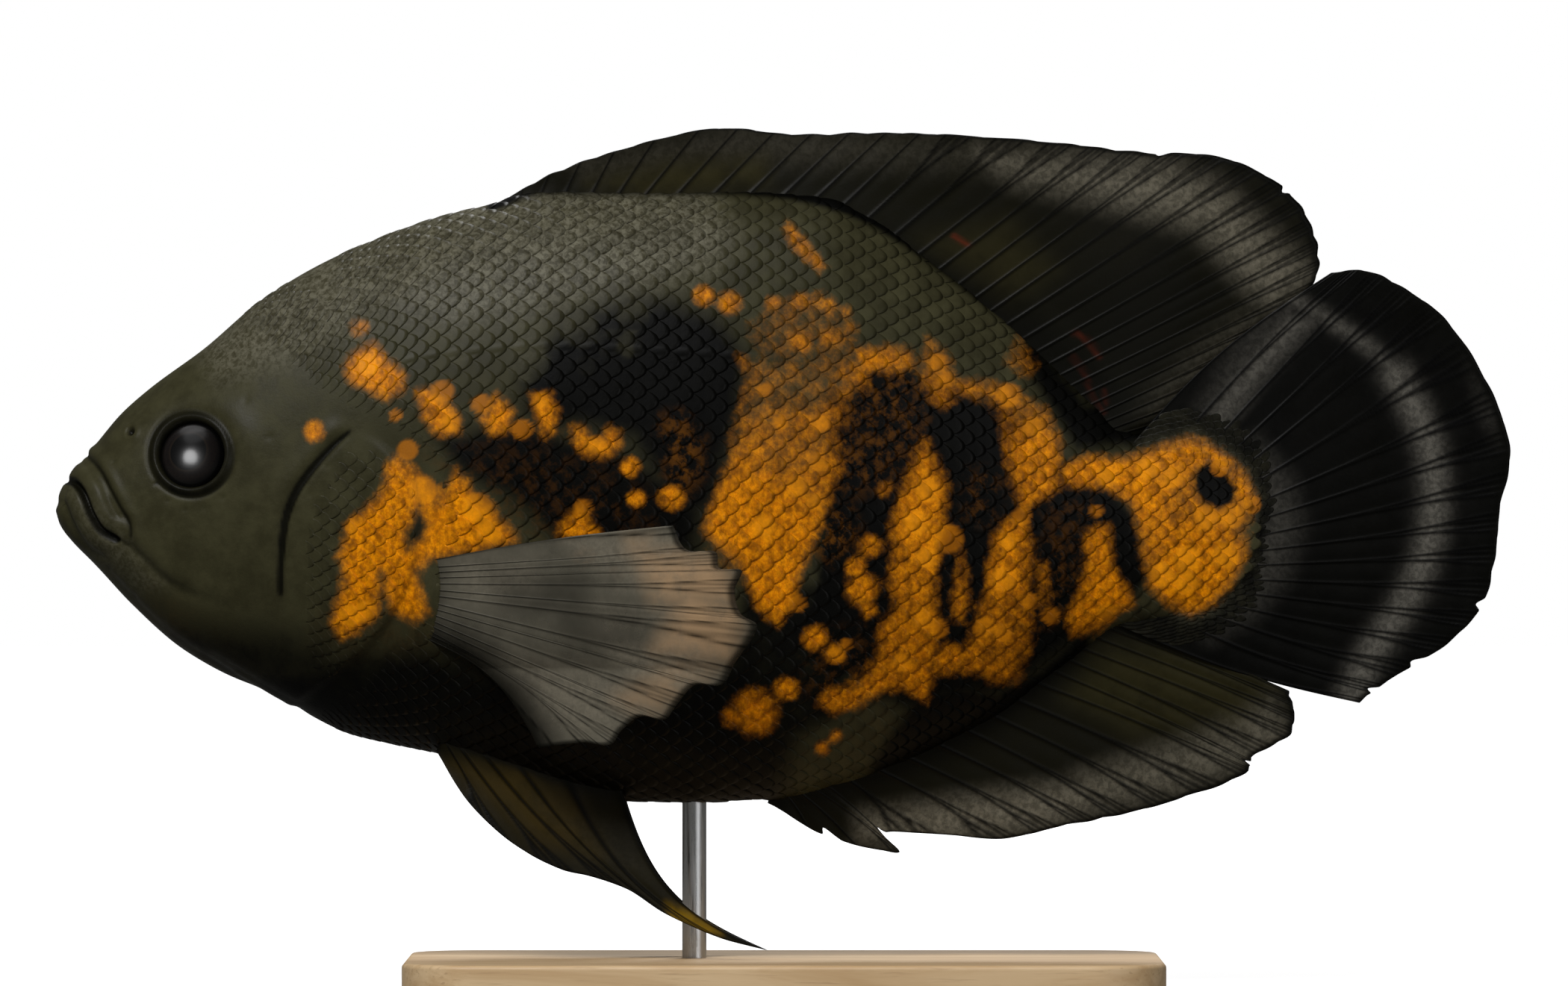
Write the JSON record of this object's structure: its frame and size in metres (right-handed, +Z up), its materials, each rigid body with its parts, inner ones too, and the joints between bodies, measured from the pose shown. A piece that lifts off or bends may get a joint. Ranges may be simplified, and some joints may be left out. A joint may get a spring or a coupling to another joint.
{
  "type": "oscar fish",
  "caption": "Life-size still model of an adult oscar fish swimming with its fins spread, dark with orange blotches and a tail-base spot, held over a flat base by a rod.",
  "frame": {"origin": "centre of the underside of the stand's base", "axes": "+X from the head to the tail, +Y the fish's right side, +Z up"},
  "size_m": [0.3, 0.092, 0.1771],
  "materials": {
    "head_skin": "satin fish skin",
    "lip_skin": "satin fish skin",
    "gill_cover_skin": "satin fish skin",
    "flank_skin": "scaled fish skin, mottled",
    "tail_stem_skin": "scaled fish skin, orange blotch with a black spot",
    "dark_fin": "satin rayed membrane",
    "pectoral_fin": "half clear rayed membrane",
    "pelvic_fin": "satin rayed membrane",
    "eye": "wet gloss",
    "stand_wood": "pale oiled wood",
    "stand_steel": "brushed"
  },
  "bodies": {
    "root": {"head": "head_skin", "upper_jaw": "lip_skin", "lower_jaw": "lip_skin", "gill_cover_left": "gill_cover_skin", "gill_cover_right": "gill_cover_skin", "eye_left": "eye", "eye_right": "eye", "trunk": "flank_skin", "tail_stem": "tail_stem_skin", "dorsal_fin": "dark_fin", "anal_fin": "dark_fin", "tail_fin": "dark_fin", "pectoral_fin_left": "pectoral_fin", "pectoral_fin_right": "pectoral_fin", "pelvic_fin_left": "pelvic_fin", "pelvic_fin_right": "pelvic_fin", "stand_base": "stand_wood", "stand_rod": "stand_steel"}
  },
  "joints": []
}
